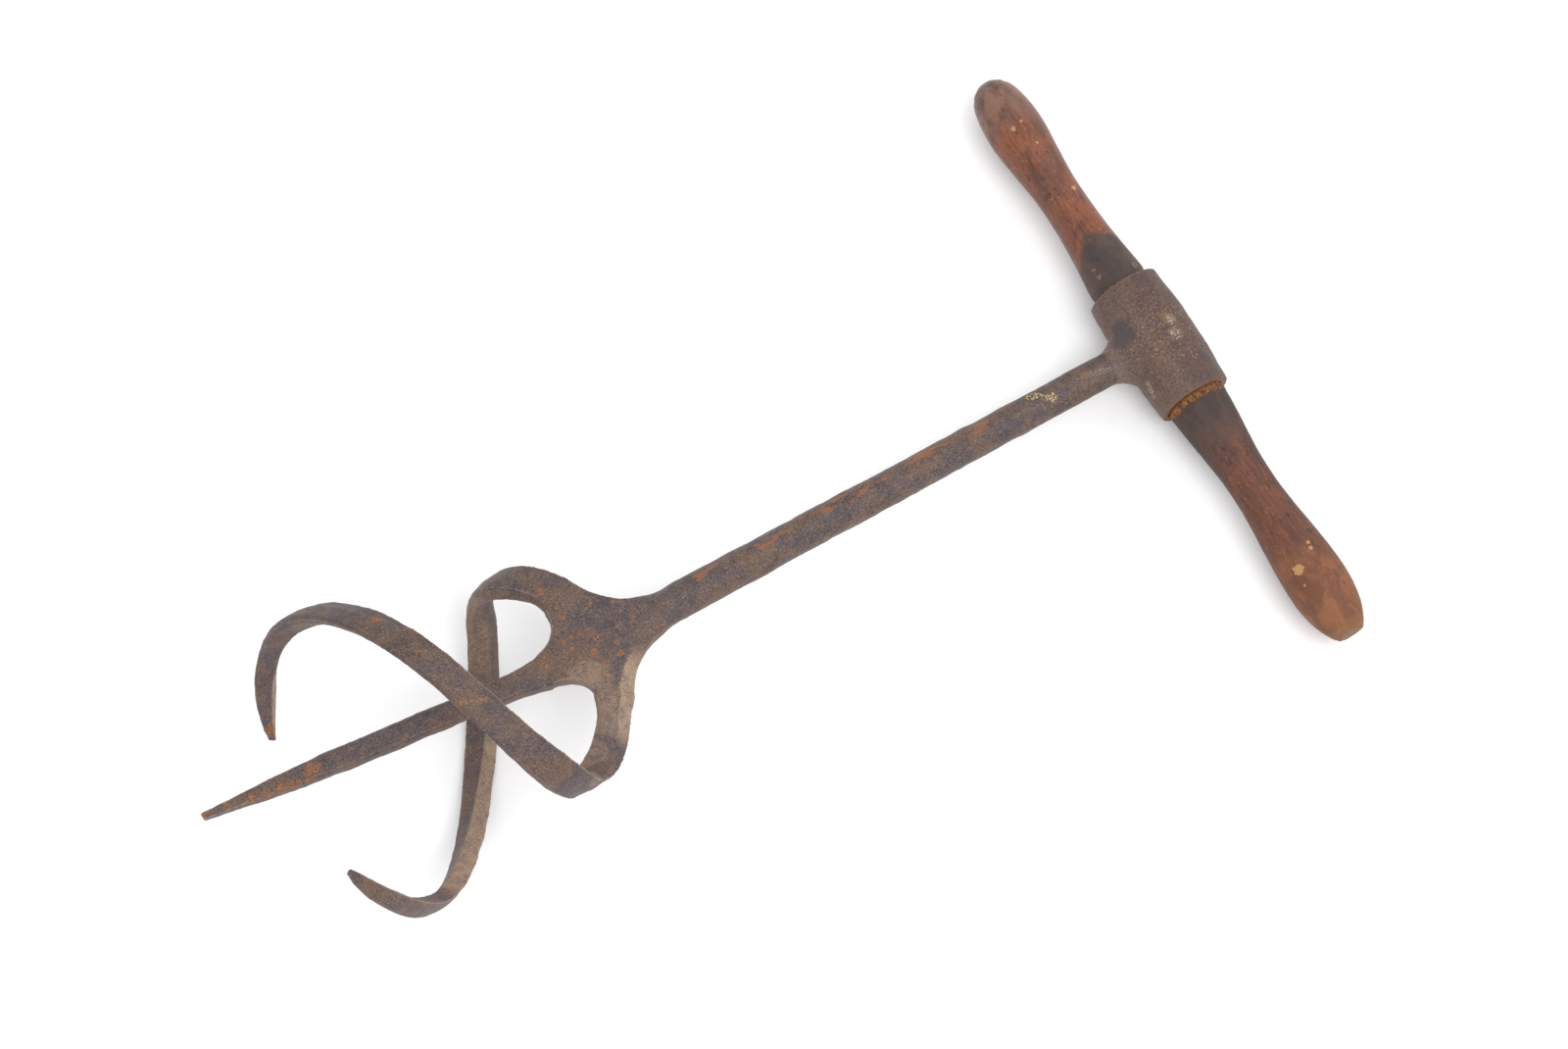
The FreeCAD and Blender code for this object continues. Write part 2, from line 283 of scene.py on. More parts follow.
def handle_profile():
    """(distance along the handle, radius) of the frame's handle, from end to end."""
    ring_width = 0.5 * MM
    rings = {}
    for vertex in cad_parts["wooden_handle"].data.vertices:
        key = round(vertex.co.y / ring_width)
        radius = math.hypot(vertex.co.x - HANDLE_MIDDLE.x, vertex.co.z - HANDLE_MIDDLE.z)
        rings[key] = max(rings.get(key, 0.0), radius)
    stations = sorted((key * ring_width, radius) for key, radius in rings.items() if radius > 0.2 * MM)
    return np.array(stations)


def handle_radii(along, profile):
    """The profile's radii, drawn in at the eye's mouths, with a crust of rust at the lower one."""
    radii = np.interp(along, profile[:, 0], profile[:, 1])
    from_mouth = np.abs(along - EYE_CENTRE.y) - EYE_HALF
    radii -= MOUTH_GAP * np.clip((MOUTH_DEPTH - from_mouth) / MOUTH_DEPTH, 0.0, 1.0)
    below_mouth = EYE_CENTRE.y - EYE_HALF - along
    crust = np.clip(1.0 - np.abs(below_mouth - 0.2 * CRUST_LENGTH) / CRUST_LENGTH, 0.0, 1.0)
    return radii + CRUST_HEIGHT * crust


def handle_ring(y, radius):
    """The points of one ring of the handle, out of round and pushed in near the slanted cut end."""
    near_cut = max(0.0, 1.0 - (y - HANDLE_LOW.y) / CUT_REACH)
    ring = []
    for step in range(HANDLE_AROUND):
        turn = 2.0 * math.pi * step / HANDLE_AROUND
        reach = radius * (1.0 + OUT_OF_ROUND * math.cos(2.0 * turn + y * OUT_OF_ROUND_TWIST))
        slant = CUT_SLANT * math.cos(turn - CUT_SIDE) + CUT_WAVE * math.cos(3.0 * turn)
        ring.append((HANDLE_MIDDLE.x + reach * math.cos(turn), y + max(0.0, slant) * near_cut,
                     HANDLE_MIDDLE.z + reach * math.sin(turn)))
    return ring


def wooden_handle():
    """The turned handle, closed at both ends."""
    profile = handle_profile()
    along = np.linspace(profile[0, 0], profile[-1, 0], HANDLE_RINGS)
    body = bmesh.new()
    loops = []
    for y, radius in zip(along, handle_radii(along, profile)):
        loops.append([body.verts.new(point) for point in handle_ring(y, radius)])
    for first, second in zip(loops, loops[1:]):
        for step in range(HANDLE_AROUND):
            after = (step + 1) % HANDLE_AROUND
            body.faces.new((first[step], first[after], second[after], second[step]))
    body.faces.new(loops[0])
    body.faces.new(list(reversed(loops[-1])))
    bmesh.ops.recalc_face_normals(body, faces=body.faces)
    mesh = bpy.data.meshes.new("turned_handle")
    body.to_mesh(mesh)
    body.free()
    piece = new_object("turned_handle", mesh)
    roughen(mesh, WOOD_SURFACE)
    shade_smooth(mesh)
    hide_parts("wooden_handle")
    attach(piece, "root")
    return piece


# ---------------------------------------------------------------- material helpers

class Nodes:
    """A new material, and a short way to write its node tree."""

    def __init__(self, name):
        self.material = bpy.data.materials.new(name)
        self.material.use_nodes = True
        self.tree = self.material.node_tree
        self.shader = self.tree.nodes["Principled BSDF"]
        self.place = self.tree.nodes.new("ShaderNodeTexCoord").outputs["Object"]
        self.normal = self.tree.nodes.new("ShaderNodeNewGeometry").outputs["Normal"]

    def link(self, source, target):
        if isinstance(source, (int, float, tuple)):
            target.default_value = source
        else:
            self.tree.links.new(source, target)

    def stretched(self, scale):
        """Object coordinates scaled along each axis."""
        node = self.tree.nodes.new("ShaderNodeMapping")
        self.link(self.place, node.inputs["Vector"])
        node.inputs["Scale"].default_value = scale
        return node.outputs["Vector"]

    def noise(self, size, detail=4.0, roughness=0.6, place=None, distortion=0.0):
        """Noise from 0 to 1 whose features are about size metres across."""
        node = self.tree.nodes.new("ShaderNodeTexNoise")
        self.link(self.place if place is None else place, node.inputs["Vector"])
        node.inputs["Scale"].default_value = 1.0 / size
        node.inputs["Detail"].default_value = detail
        node.inputs["Roughness"].default_value = roughness
        node.inputs["Distortion"].default_value = distortion
        return node.outputs["Fac"]

    def dots(self, size, share, radius):
        """Round dots, size metres apart, in a share of the places where one could be."""
        node = self.tree.nodes.new("ShaderNodeTexVoronoi")
        self.link(self.place, node.inputs["Vector"])
        node.inputs["Scale"].default_value = 1.0 / size
        pick = self.tree.nodes.new("ShaderNodeSeparateColor")
        self.link(node.outputs["Color"], pick.inputs[0])
        chosen = self.math("LESS_THAN", pick.outputs[0], share)
        edge = self.product(self.math("ADD", pick.outputs[1], 0.4), radius)
        inside = self.math("SUBTRACT", edge, node.outputs["Distance"])
        return self.product(chosen, self.between(inside, 0.0, radius * 0.4))

    def math(self, operation, first, second=0.0, clamp=False):
        node = self.tree.nodes.new("ShaderNodeMath")
        node.operation = operation
        node.use_clamp = clamp
        self.link(first, node.inputs[0])
        self.link(second, node.inputs[1])
        return node.outputs[0]

    def product(self, first, *others):
        """All the values multiplied together."""
        for other in others:
            first = self.math("MULTIPLY", first, other)
        return first

    def largest(self, first, *others):
        for other in others:
            first = self.math("MAXIMUM", first, other)
        return first

    def between(self, value, low, high):
        """0 below low, 1 above high, smooth between; low may be above high."""
        node = self.tree.nodes.new("ShaderNodeMapRange")
        node.interpolation_type = "SMOOTHSTEP"
        self.link(value, node.inputs["Value"])
        node.inputs["From Min"].default_value = min(low, high)
        node.inputs["From Max"].default_value = max(low, high)
        if low > high:
            node.inputs["To Min"].default_value = 1.0
            node.inputs["To Max"].default_value = 0.0
        return node.outputs["Result"]

    def mix(self, share, first, second):
        node = self.tree.nodes.new("ShaderNodeMix")
        node.data_type = "RGBA"
        self.link(share, node.inputs["Factor"])
        self.link(first, node.inputs["A"])
        self.link(second, node.inputs["B"])
        return node.outputs["Result"]

    def painted(self, colour, share, strength, paint):
        """A colour with paint over a share of it, at a strength from 0 to 1."""
        return self.mix(self.product(share, strength), colour, paint)

    def part(self, vector, name):
        """One of a vector's X, Y and Z."""
        node = self.tree.nodes.new("ShaderNodeSeparateXYZ")
        self.link(vector, node.inputs[0])
        return node.outputs[name]

    def stored(self, name):
        """A value stored on the mesh, vertex by vertex."""
        node = self.tree.nodes.new("ShaderNodeAttribute")
        node.attribute_name = name
        return node.outputs["Fac"]

    def distance_to(self, point):
        node = self.tree.nodes.new("ShaderNodeVectorMath")
        node.operation = "DISTANCE"
        self.link(self.place, node.inputs[0])
        node.inputs[1].default_value = point
        return node.outputs["Value"]

    def spots(self, spots, ragged):
        """1 inside any of the (point, radius) spots, with edges as ragged as the noise given."""
        nearest = None
        for point, radius in spots:
            scaled = self.math("DIVIDE", self.distance_to(point), radius)
            nearest = scaled if nearest is None else self.math("MINIMUM", nearest, scaled)
        return self.between(self.math("ADD", nearest, ragged), 1.15, 0.75)

    def bump(self, height, strength, distance, after=None):
        node = self.tree.nodes.new("ShaderNodeBump")
        self.link(height, node.inputs["Height"])
        node.inputs["Strength"].default_value = strength
        node.inputs["Distance"].default_value = distance
        if after is not None:
            self.link(after, node.inputs["Normal"])
        return node.outputs["Normal"]


def rgb(red, green, blue):
    """A shader colour from the 0 to 255 values that a screen shows."""
    def linear(value):
        value = value / 255.0
        return value / 12.92 if value <= 0.04045 else ((value + 0.055) / 1.055) ** 2.4
    return (linear(red), linear(green), linear(blue), 1.0)


def ragged_by(nodes, value, amount):
    """A noise from 0 to 1 made into one from -amount to amount."""
    return nodes.product(nodes.math("SUBTRACT", value, 0.5), 2.0 * amount)


def row_of_spots(start, end, count, radius):
    return [(start.lerp(end, step / (count - 1)), radius) for step in range(count)]


# ---------------------------------------------------------------- iron

COOL_PATINA = rgb(76, 64, 67)
WARM_PATINA = rgb(94, 72, 60)
DARK_PATINA = rgb(62, 52, 55)
DULL_PATINA = rgb(98, 80, 70)
DARK_GRAIN = rgb(34, 26, 27)
PALE_GRAIN = rgb(144, 120, 103)
WORN_EDGE = rgb(156, 137, 124)
PAINTED_HOLLOW_SHADE = rgb(46, 37, 35)
DUST_AND_LIGHT = rgb(164, 138, 114)
DARK_RUST = rgb(98, 64, 45)
BRIGHT_RUST = rgb(160, 110, 76)
SHANK_RUST = rgb(138, 86, 54)
SHANK_FLECK = rgb(206, 182, 124)
EYE_BROWN = rgb(72, 49, 45)
EYE_FRECKLE = rgb(158, 112, 78)
EYE_PIT = rgb(46, 32, 31)
EYE_PATCH = rgb(64, 56, 60)
EYE_STREAK = rgb(146, 126, 98)
EYE_FLECK = rgb(180, 168, 136)
MOUTH_RUST = rgb(140, 82, 38)

# Where the photo shows rust spots on the palm, handle side first: the shares of
# the way along the palm's X and Y, and the radius in millimetres.
PALM_SPOTS = ((0.62, 0.69, 1.0), (0.51, 0.37, 1.2), (0.49, 0.77, 0.9), (0.41, 0.49, 1.2),
              (0.38, 0.27, 1.1), (0.34, 0.40, 1.5), (0.31, 0.22, 1.2), (0.29, 0.88, 0.9),
              (0.29, 0.78, 1.2), (0.27, 0.60, 1.0), (0.33, 0.58, 0.9), (0.25, 0.42, 0.9),
              (0.21, 0.61, 0.9), (0.02, 0.51, 1.7), (0.24, 0.51, 1.0), (0.49, 0.29, 1.3),
              (0.68, 0.48, 0.9), (0.24, 0.38, 0.8), (0.23, 0.13, 1.1))


def palm_rust_spots():
    """The round rust spots on top of the palm."""
    return [(top_place("palm", share_x, share_y), radius * MM) for share_x, share_y, radius in PALM_SPOTS]


def member_rust_spots():
    """Larger stains on the spike, on the lower prong's coil and tip, and on the upper prong's root."""
    spike_edge = row_of_spots(node_place("centre_spike", 0.301, 0.580, 0.839),
                              node_place("centre_spike", 0.141, 0.760, 0.926), 5, 2.2 * MM)
    crossing = row_of_spots(node_place("lower_prong", 0.517, 0.360, 0.968),
                            node_place("lower_prong", 0.597, 0.330, 0.950), 7, 0.9 * MM)
    single = [(node_place("centre_spike", 0.321, 0.700, 0.844), 3.2 * MM),
              (node_place("centre_spike", 0.071, 0.900, 0.963), 1.3 * MM),
              (node_place("centre_spike", 0.011, 0.960, 0.974), 1.6 * MM),
              (node_place("lower_prong", 0.447, 0.735, 0.920), 2.2 * MM),
              (node_place("lower_prong", 0.031, 0.800, 0.061), 3.0 * MM),
              (top_place("upper_prong", 0.902, 0.820), 1.3 * MM)]
    return spike_edge + crossing + single


def coil_scratch():
    """A fine rust line across the top of the lower prong's coil."""
    return row_of_spots(node_place("lower_prong", 0.438, 0.610, 0.981),
                        node_place("lower_prong", 0.518, 0.550, 0.993), 12, 0.5 * MM)


def patina(nodes, grain, blotch):
    """Brown-grey skin of old iron, with a warm and a cool tone, a fine speckle, worn edges and painted
    shade in its sharp hollows.
    """
    cloud = nodes.noise(18.0 * MM, detail=5.0)
    colour = nodes.mix(nodes.between(cloud, 0.42, 0.58), COOL_PATINA, WARM_PATINA)
    darker = nodes.between(nodes.noise(14.0 * MM, detail=4.0), 0.50, 0.64)
    colour = nodes.painted(colour, darker, 0.65, DARK_PATINA)
    colour = nodes.painted(colour, nodes.between(blotch, 0.46, 0.68), 0.8, DULL_PATINA)
    colour = nodes.mix(nodes.between(grain, 0.48, 0.32), colour, DARK_GRAIN)
    colour = nodes.painted(colour, nodes.between(grain, 0.54, 0.68), 0.65, PALE_GRAIN)
    edge = nodes.stored("worn_edge")
    colour = nodes.painted(colour, nodes.between(edge, 0.25, 0.9), 0.65, WORN_EDGE)
    # painted shade: the sharp hollows, where the edge measure is negative, are darkened
    return nodes.painted(colour, nodes.between(edge, -0.2, -0.9), 0.5, PAINTED_HOLLOW_SHADE)


def dusty_patches(nodes, blotch):
    """Dust on the palm by the lower prong's root, and along both faces of that prong's bend."""
    patches = [(node_place("palm", 0.232, 0.200, 0.888), 8.5 * MM),
               (node_place("lower_prong", 0.900, 0.260, 0.384), 6.0 * MM),
               (node_place("lower_prong", 0.875, 0.195, 0.388), 6.0 * MM),
               (node_place("lower_prong", 0.783, 0.120, 0.398), 7.0 * MM),
               (node_place("lower_prong", 0.752, 0.032, 0.530), 4.0 * MM)]
    return nodes.spots(patches, ragged_by(nodes, blotch, 0.9))


def dust_and_lit_faces(nodes, colour, grain, blotch):
    """Pale tan dust by the lower prong's root, inside its bend and low on the upper prong, partly painted
    light: faces turned one way, chosen by their normals, are painted paler.
    """
    normal_x = nodes.part(nodes.normal, "X")
    normal_y = nodes.part(nodes.normal, "Y")
    # painted light: faces turned towards one side, found by their normals, are painted paler below
    facing_back = nodes.math("SUBTRACT", nodes.product(normal_x, 0.86), nodes.product(normal_y, 0.51))
    from_root = nodes.distance_to(node_place("palm", 0.361, 0.000, 0.740))
    root = nodes.between(from_root, 21.0 * MM, 11.0 * MM)
    root = nodes.product(root, nodes.between(facing_back, 0.05, 0.5), 0.85)
    low_down = nodes.between(nodes.part(nodes.place, "Z"), 50.0 * MM, 38.0 * MM)
    loop_start = PALM_LOW.x - 14.0 * MM
    loop_end = PALM_LOW.x - 28.0 * MM
    x = nodes.part(nodes.place, "X")
    low_leg = nodes.product(low_down, nodes.between(x, loop_start, loop_end),
                            nodes.between(normal_x, 0.40, 0.62))
    far_side = nodes.product(low_down, nodes.between(x, loop_end, loop_start),
                             nodes.between(normal_x, 0.1, -0.25))
    dust_and_light = nodes.largest(root, nodes.product(low_leg, 0.8), nodes.product(far_side, 0.35),
                         nodes.product(dusty_patches(nodes, blotch), 0.45))
    patchy = nodes.math("ADD", nodes.product(blotch, 0.6), nodes.product(grain, 0.9))
    return nodes.mix(nodes.product(dust_and_light, nodes.between(patchy, 0.40, 0.95)), colour, DUST_AND_LIGHT)


def shank_rust(nodes, colour, grain):
    """Orange specks strung along the upper side of the shank, and a few pale flecks."""
    x = nodes.part(nodes.place, "X")
    side = nodes.math("SUBTRACT", nodes.part(nodes.place, "Y"), SHANK_AXIS_Y)
    band = nodes.product(nodes.between(side, -2.5 * MM, 1.0 * MM),
                         nodes.between(side, 6.6 * MM, 4.0 * MM))
    along = nodes.product(nodes.between(x, SHANK_LOW.x - 6.0 * MM, SHANK_LOW.x + 14.0 * MM),
                          nodes.between(x, SHANK_HIGH.x - 34.0 * MM, SHANK_HIGH.x - 60.0 * MM))
    streaky = nodes.noise(3.4 * MM, detail=4.0, roughness=0.7, place=nodes.stretched((0.35, 1.0, 1.0)))
    rust = nodes.between(nodes.math("ADD", streaky, nodes.product(band, along, 0.13)), 0.645, 0.72)
    past_palm = nodes.between(x, PALM_HIGH.x - 8.0 * MM, PALM_HIGH.x + 4.0 * MM)
    rust = nodes.product(rust, nodes.between(band, 0.05, 0.4), past_palm)
    colour = nodes.painted(colour, rust, 0.75, SHANK_RUST)
    flecks = row_of_spots(node_place("shank", 0.82, 0.76, 0.417), node_place("shank", 0.86, 0.45, 0.436),
                          6, 1.6 * MM)
    pale = nodes.spots(flecks, ragged_by(nodes, streaky, 1.5))
    return nodes.mix(nodes.product(pale, nodes.between(grain, 0.50, 0.60)), colour, SHANK_FLECK)


def eye_skin(nodes, colour, fine):
    """The eye's browner skin, with tan freckles, most on its top, and dark pits."""
    near_eye = nodes.between(nodes.part(nodes.place, "X"), EYE_LOW.x + 1.0 * MM, EYE_LOW.x + 10.0 * MM)
    colour = nodes.painted(colour, near_eye, 0.55, EYE_BROWN)
    from_top = nodes.distance_to(node_place("handle_eye", 0.633, 0.500, 0.999))
    on_top = nodes.between(from_top, 24.0 * MM, 9.0 * MM)
    patchy = nodes.product(nodes.noise(6.0 * MM, detail=2.0), 1.8)
    freckled = nodes.product(nodes.math("ADD", on_top, patchy), 0.07)
    freckle = nodes.between(nodes.math("ADD", fine, freckled), 0.67, 0.80)
    colour = nodes.painted(colour, nodes.product(freckle, near_eye), 0.7, EYE_FRECKLE)
    pit = nodes.product(nodes.between(fine, 0.44, 0.34), near_eye)
    return nodes.painted(colour, pit, 0.8, EYE_PIT)


def eye_marks(nodes, colour, grain, fine):
    """A dark smooth patch on the eye's neck, a pale streak on the shank's end, and pale flecks."""
    patch = [(node_place("handle_eye", 0.270, 0.660, 0.852), 6.0 * MM)]
    dark = nodes.spots(patch, ragged_by(nodes, grain, 0.5))
    colour = nodes.painted(colour, dark, 0.75, EYE_PATCH)
    streak = row_of_spots(node_place("shank", 0.94, 0.55, 0.39), node_place("shank", 0.99, 0.40, 0.348),
                          6, 1.7 * MM)
    streaked = nodes.spots(streak, ragged_by(nodes, fine, 1.0))
    colour = nodes.mix(nodes.product(streaked, nodes.between(fine, 0.46, 0.66)), colour, EYE_STREAK)
    flecks = row_of_spots(node_place("handle_eye", 0.742, 0.560, 0.965),
                          node_place("handle_eye", 0.712, 0.440, 0.976), 2, 2.4 * MM)
    flecks += row_of_spots(node_place("handle_eye", 0.258, 0.240, 0.732),
                           node_place("handle_eye", 0.226, 0.150, 0.674), 3, 1.3 * MM)
    crumbs = nodes.noise(0.55 * MM, detail=2.0, roughness=0.8)
    pale = nodes.spots(flecks, ragged_by(nodes, fine, 1.6))
    pale = nodes.product(pale, nodes.between(crumbs, 0.47, 0.60))
    return nodes.painted(colour, pale, 0.75, EYE_FLECK)


def mouth_rust(nodes, colour):
    """Bright rust on the rims of the eye's two mouths."""
    along = nodes.math("SUBTRACT", nodes.part(nodes.place, "Y"), EYE_CENTRE.y)
    from_middle = nodes.math("ABSOLUTE", along)
    across = nodes.math("SUBTRACT", nodes.part(nodes.place, "X"), EYE_CENTRE.x)
    up = nodes.math("SUBTRACT", nodes.part(nodes.place, "Z"), EYE_CENTRE.z)
    squares = nodes.math("ADD", nodes.product(across, across), nodes.product(up, up))
    from_axis = nodes.math("SQRT", squares)
    rim = nodes.product(nodes.between(from_middle, EYE_HALF - 1.8 * MM, EYE_HALF - 0.4 * MM),
                        nodes.between(from_axis, 13.2 * MM, 12.2 * MM))
    return nodes.painted(colour, rim, 0.85, MOUTH_RUST)


def rust_share(nodes, grain, blotch):
    """1 in the rust spots, in the palm's pits and along the coil's scratch, broken up by the grain."""
    ragged = ragged_by(nodes, nodes.noise(1.3 * MM, detail=3.0, roughness=0.7), 1.5)
    spots = nodes.spots(palm_rust_spots() + member_rust_spots(), ragged)
    near_palm = nodes.between(nodes.distance_to(PALM_CENTRE), 44.0 * MM, 22.0 * MM)
    pits = nodes.product(nodes.dots(2.6 * MM, 0.12, 0.26), near_palm)
    scratch = nodes.spots(coil_scratch(), ragged_by(nodes, blotch, 0.5))
    return nodes.product(nodes.largest(spots, pits, scratch), nodes.between(grain, 0.34, 0.50))


def iron_material():
    """Old cast iron: brown-grey patina, rust spots, dust in the hollows that is partly painted light, and
    painted shade in sharp hollows.
    """
    nodes = Nodes("rusted_iron")
    grain = nodes.noise(0.65 * MM, detail=3.0, roughness=0.75)
    blotch = nodes.noise(4.5 * MM, detail=4.0, roughness=0.65)
    fine = nodes.noise(0.9 * MM, detail=3.0, roughness=0.7)
    colour = patina(nodes, grain, blotch)
    colour = dust_and_lit_faces(nodes, colour, grain, blotch)
    colour = shank_rust(nodes, colour, grain)
    colour = eye_skin(nodes, colour, fine)
    colour = eye_marks(nodes, colour, grain, fine)
    colour = mouth_rust(nodes, colour)
    rust = rust_share(nodes, grain, blotch)
    rust_colour = nodes.mix(nodes.between(grain, 0.40, 0.62), DARK_RUST, BRIGHT_RUST)
    colour = nodes.painted(colour, rust, 0.8, rust_colour)

    nodes.link(colour, nodes.shader.inputs["Base Color"])
    rough = nodes.math("ADD", nodes.product(grain, 0.34), 0.36, clamp=True)
    nodes.link(nodes.largest(rough, nodes.product(rust, 0.85)), nodes.shader.inputs["Roughness"])
    nodes.shader.inputs["Specular IOR Level"].default_value = 0.4
    waves = nodes.bump(blotch, 0.5, 0.5 * MM)
    nodes.link(nodes.bump(grain, 0.6, 0.35 * MM, after=waves), nodes.shader.inputs["Normal"])
    return nodes.material


# ---------------------------------------------------------------- wood

DARK_WOOD = rgb(88, 52, 41)
RED_WOOD = rgb(128, 75, 52)
DULL_WOOD = rgb(104, 66, 54)
WOOD_BELOW_EYE = rgb(86, 55, 44)
DARK_STREAK = rgb(62, 44, 40)
DARK_BLOT = rgb(58, 40, 38)
PORE = rgb(52, 32, 28)
CRACKLE = rgb(158, 106, 76)
DARK_STAIN = rgb(56, 50, 50)
BROWN_STAIN = rgb(74, 60, 54)
DARK_BARE_WOOD = rgb(112, 69, 45)
PALE_BARE_WOOD = rgb(142, 91, 57)
WORN_RIM = rgb(128, 92, 60)
DARK_GRIME = rgb(84, 62, 58)
PALE_GRIME = rgb(124, 98, 86)
BARE_CHIP = rgb(176, 134, 92)
WHITEWASH_AND_HIGHLIGHT = rgb(176, 166, 150)
DARK_SPECK = rgb(50, 34, 31)
RUST_FLECK = rgb(134, 96, 66)
DARK_CRUST = rgb(76, 46, 27)
PALE_CRUST = rgb(156, 104, 60)


def handle_place(share, turn, radius=10.5 * MM):
    """A point of the handle by its share of the way to the domed end and its turn from +X to up."""
    angle = math.radians(turn)
    return Vector((HANDLE_MIDDLE.x + radius * math.cos(angle), HANDLE_LOW.y + HANDLE_LENGTH * share,
                   HANDLE_MIDDLE.z + radius * math.sin(angle)))


def bare_chips():
    """Where the old finish has flaked off down to pale wood."""
    return [(handle_place(0.112, 121.0), 2.1 * MM), (handle_place(0.088, 127.0), 0.8 * MM),
            (handle_place(0.130, 77.0), 0.9 * MM), (handle_place(0.139, 74.0), 0.8 * MM),
            (handle_place(0.781, 55.0, 8.6 * MM), 1.1 * MM), (handle_place(0.903, 106.0), 1.0 * MM),
            (handle_place(0.907, 84.0), 0.7 * MM), (handle_place(0.866, 78.0), 0.8 * MM)]


def rust_flecks():
    """Rust flecks on the stained wood above the eye."""
    return [(handle_place(0.652, 133.0, 9.9 * MM), 1.7 * MM),
            (handle_place(0.640, 128.0, 10.2 * MM), 1.4 * MM),
            (handle_place(0.629, 49.0, 10.6 * MM), 1.6 * MM)]


def end_flecks_and_highlight():
    """Specks of whitewash near the domed end, partly a painted highlight streak."""
    return [(handle_place(0.950, 120.0, 8.0 * MM), 1.8 * MM),
            (handle_place(0.960, 136.0, 7.5 * MM), 1.2 * MM),
            (handle_place(0.953, 101.0, 8.0 * MM), 1.0 * MM)]


def wood_grain(nodes, mottle, cloud, crackle, pores, below_eye):
    """Reddish hardwood, mottled and streaked along its grain, darker below the eye."""
    colour = nodes.mix(nodes.between(mottle, 0.34, 0.62), DARK_WOOD, RED_WOOD)
    colour = nodes.painted(colour, nodes.between(cloud, 0.44, 0.62), 0.7, DULL_WOOD)
    streaks = nodes.noise(7.0 * MM, detail=4.0, roughness=0.65, place=nodes.stretched((1.0, 0.16, 1.0)))
    streakiness = nodes.math("ADD", nodes.product(below_eye, 0.5), 0.25)
    streak = nodes.product(nodes.between(streaks, 0.54, 0.40), streakiness)
    colour = nodes.painted(colour, below_eye, 0.5, WOOD_BELOW_EYE)
    colour = nodes.painted(colour, streak, 0.7, DARK_STREAK)
    blot = nodes.between(nodes.noise(5.0 * MM, detail=4.0, roughness=0.7), 0.585, 0.68)
    colour = nodes.painted(colour, blot, 0.6, DARK_BLOT)
    colour = nodes.painted(colour, nodes.between(pores, 0.50, 0.38), 0.35, PORE)
    return nodes.painted(colour, nodes.between(crackle, 0.60, 0.72), 0.45, CRACKLE)


def eye_stain(nodes, cloud):
    """1 in the dark stain on each side of the eye: sharp and slanting above, fading below."""
    from_eye = nodes.math("SUBTRACT", nodes.part(nodes.place, "Y"), EYE_CENTRE.y)
    from_peak = nodes.math("SUBTRACT", nodes.part(nodes.place, "X"), EYE_CENTRE.x - 3.0 * MM)
    slope = nodes.largest(nodes.product(from_peak, 0.35), nodes.product(from_peak, -1.3))
    upper_edge = nodes.math("ADD", nodes.math("ADD", from_eye, slope), ragged_by(nodes, cloud, 5.0 * MM))
    upper = nodes.between(upper_edge, EYE_HALF + 25.0 * MM, EYE_HALF + 21.5 * MM)
    lower_edge = nodes.math("ADD", from_eye, ragged_by(nodes, cloud, 12.0 * MM))
    lower = nodes.between(lower_edge, -EYE_HALF - 36.0 * MM, -EYE_HALF - 12.0 * MM)
    return nodes.product(upper, lower)


def end_wear(nodes, colour, mottle, cloud):
    """Wood worn bare towards the cut end, with a paler rim, and greyish grime on the domed end."""
    y = nodes.part(nodes.place, "Y")
    wandering = nodes.math("ADD", y, ragged_by(nodes, cloud, 12.0 * MM))
    bare = nodes.between(wandering, HANDLE_LOW.y + 48.0 * MM, HANDLE_LOW.y + 6.0 * MM)
    bare_colour = nodes.mix(nodes.between(mottle, 0.40, 0.58), DARK_BARE_WOOD, PALE_BARE_WOOD)
    colour = nodes.painted(colour, bare, 0.7, bare_colour)
    rim_edge = nodes.math("ADD", y, ragged_by(nodes, mottle, 2.5 * MM))
    rim = nodes.between(rim_edge, HANDLE_LOW.y + 4.5 * MM, HANDLE_LOW.y + 2.0 * MM)
    colour = nodes.painted(colour, rim, 0.5, WORN_RIM)
    grime = nodes.between(wandering, HANDLE_HIGH.y - 30.0 * MM, HANDLE_HIGH.y - 8.0 * MM)
    grime_colour = nodes.mix(nodes.between(mottle, 0.38, 0.58), DARK_GRIME, PALE_GRIME)
    return nodes.painted(colour, grime, 0.7, grime_colour)


def wood_marks(nodes, colour, crackle):
    """Bare chips, whitewash with a painted highlight on the domed end, dark specks, and rust flecks
    beside the eye.
    """
    chips = nodes.spots(bare_chips(), ragged_by(nodes, crackle, 0.8))
    colour = nodes.painted(colour, chips, 0.8, BARE_CHIP)
    # painted highlight: part of these pale specks stands for a glint on the domed end
    whitewash_and_highlight = nodes.spots(end_flecks_and_highlight(), ragged_by(nodes, crackle, 1.2))
    whitewash_and_highlight = nodes.product(whitewash_and_highlight, nodes.between(crackle, 0.44, 0.60))
    colour = nodes.painted(colour, whitewash_and_highlight, 0.7, WHITEWASH_AND_HIGHLIGHT)
    specks = nodes.dots(3.2 * MM, 0.22, 0.30)
    colour = nodes.painted(colour, specks, 0.4, DARK_SPECK)
    flecks = nodes.spots(rust_flecks(), ragged_by(nodes, crackle, 1.0))
    flecks = nodes.product(flecks, nodes.between(crackle, 0.44, 0.56))
    return nodes.painted(colour, flecks, 0.8, RUST_FLECK)


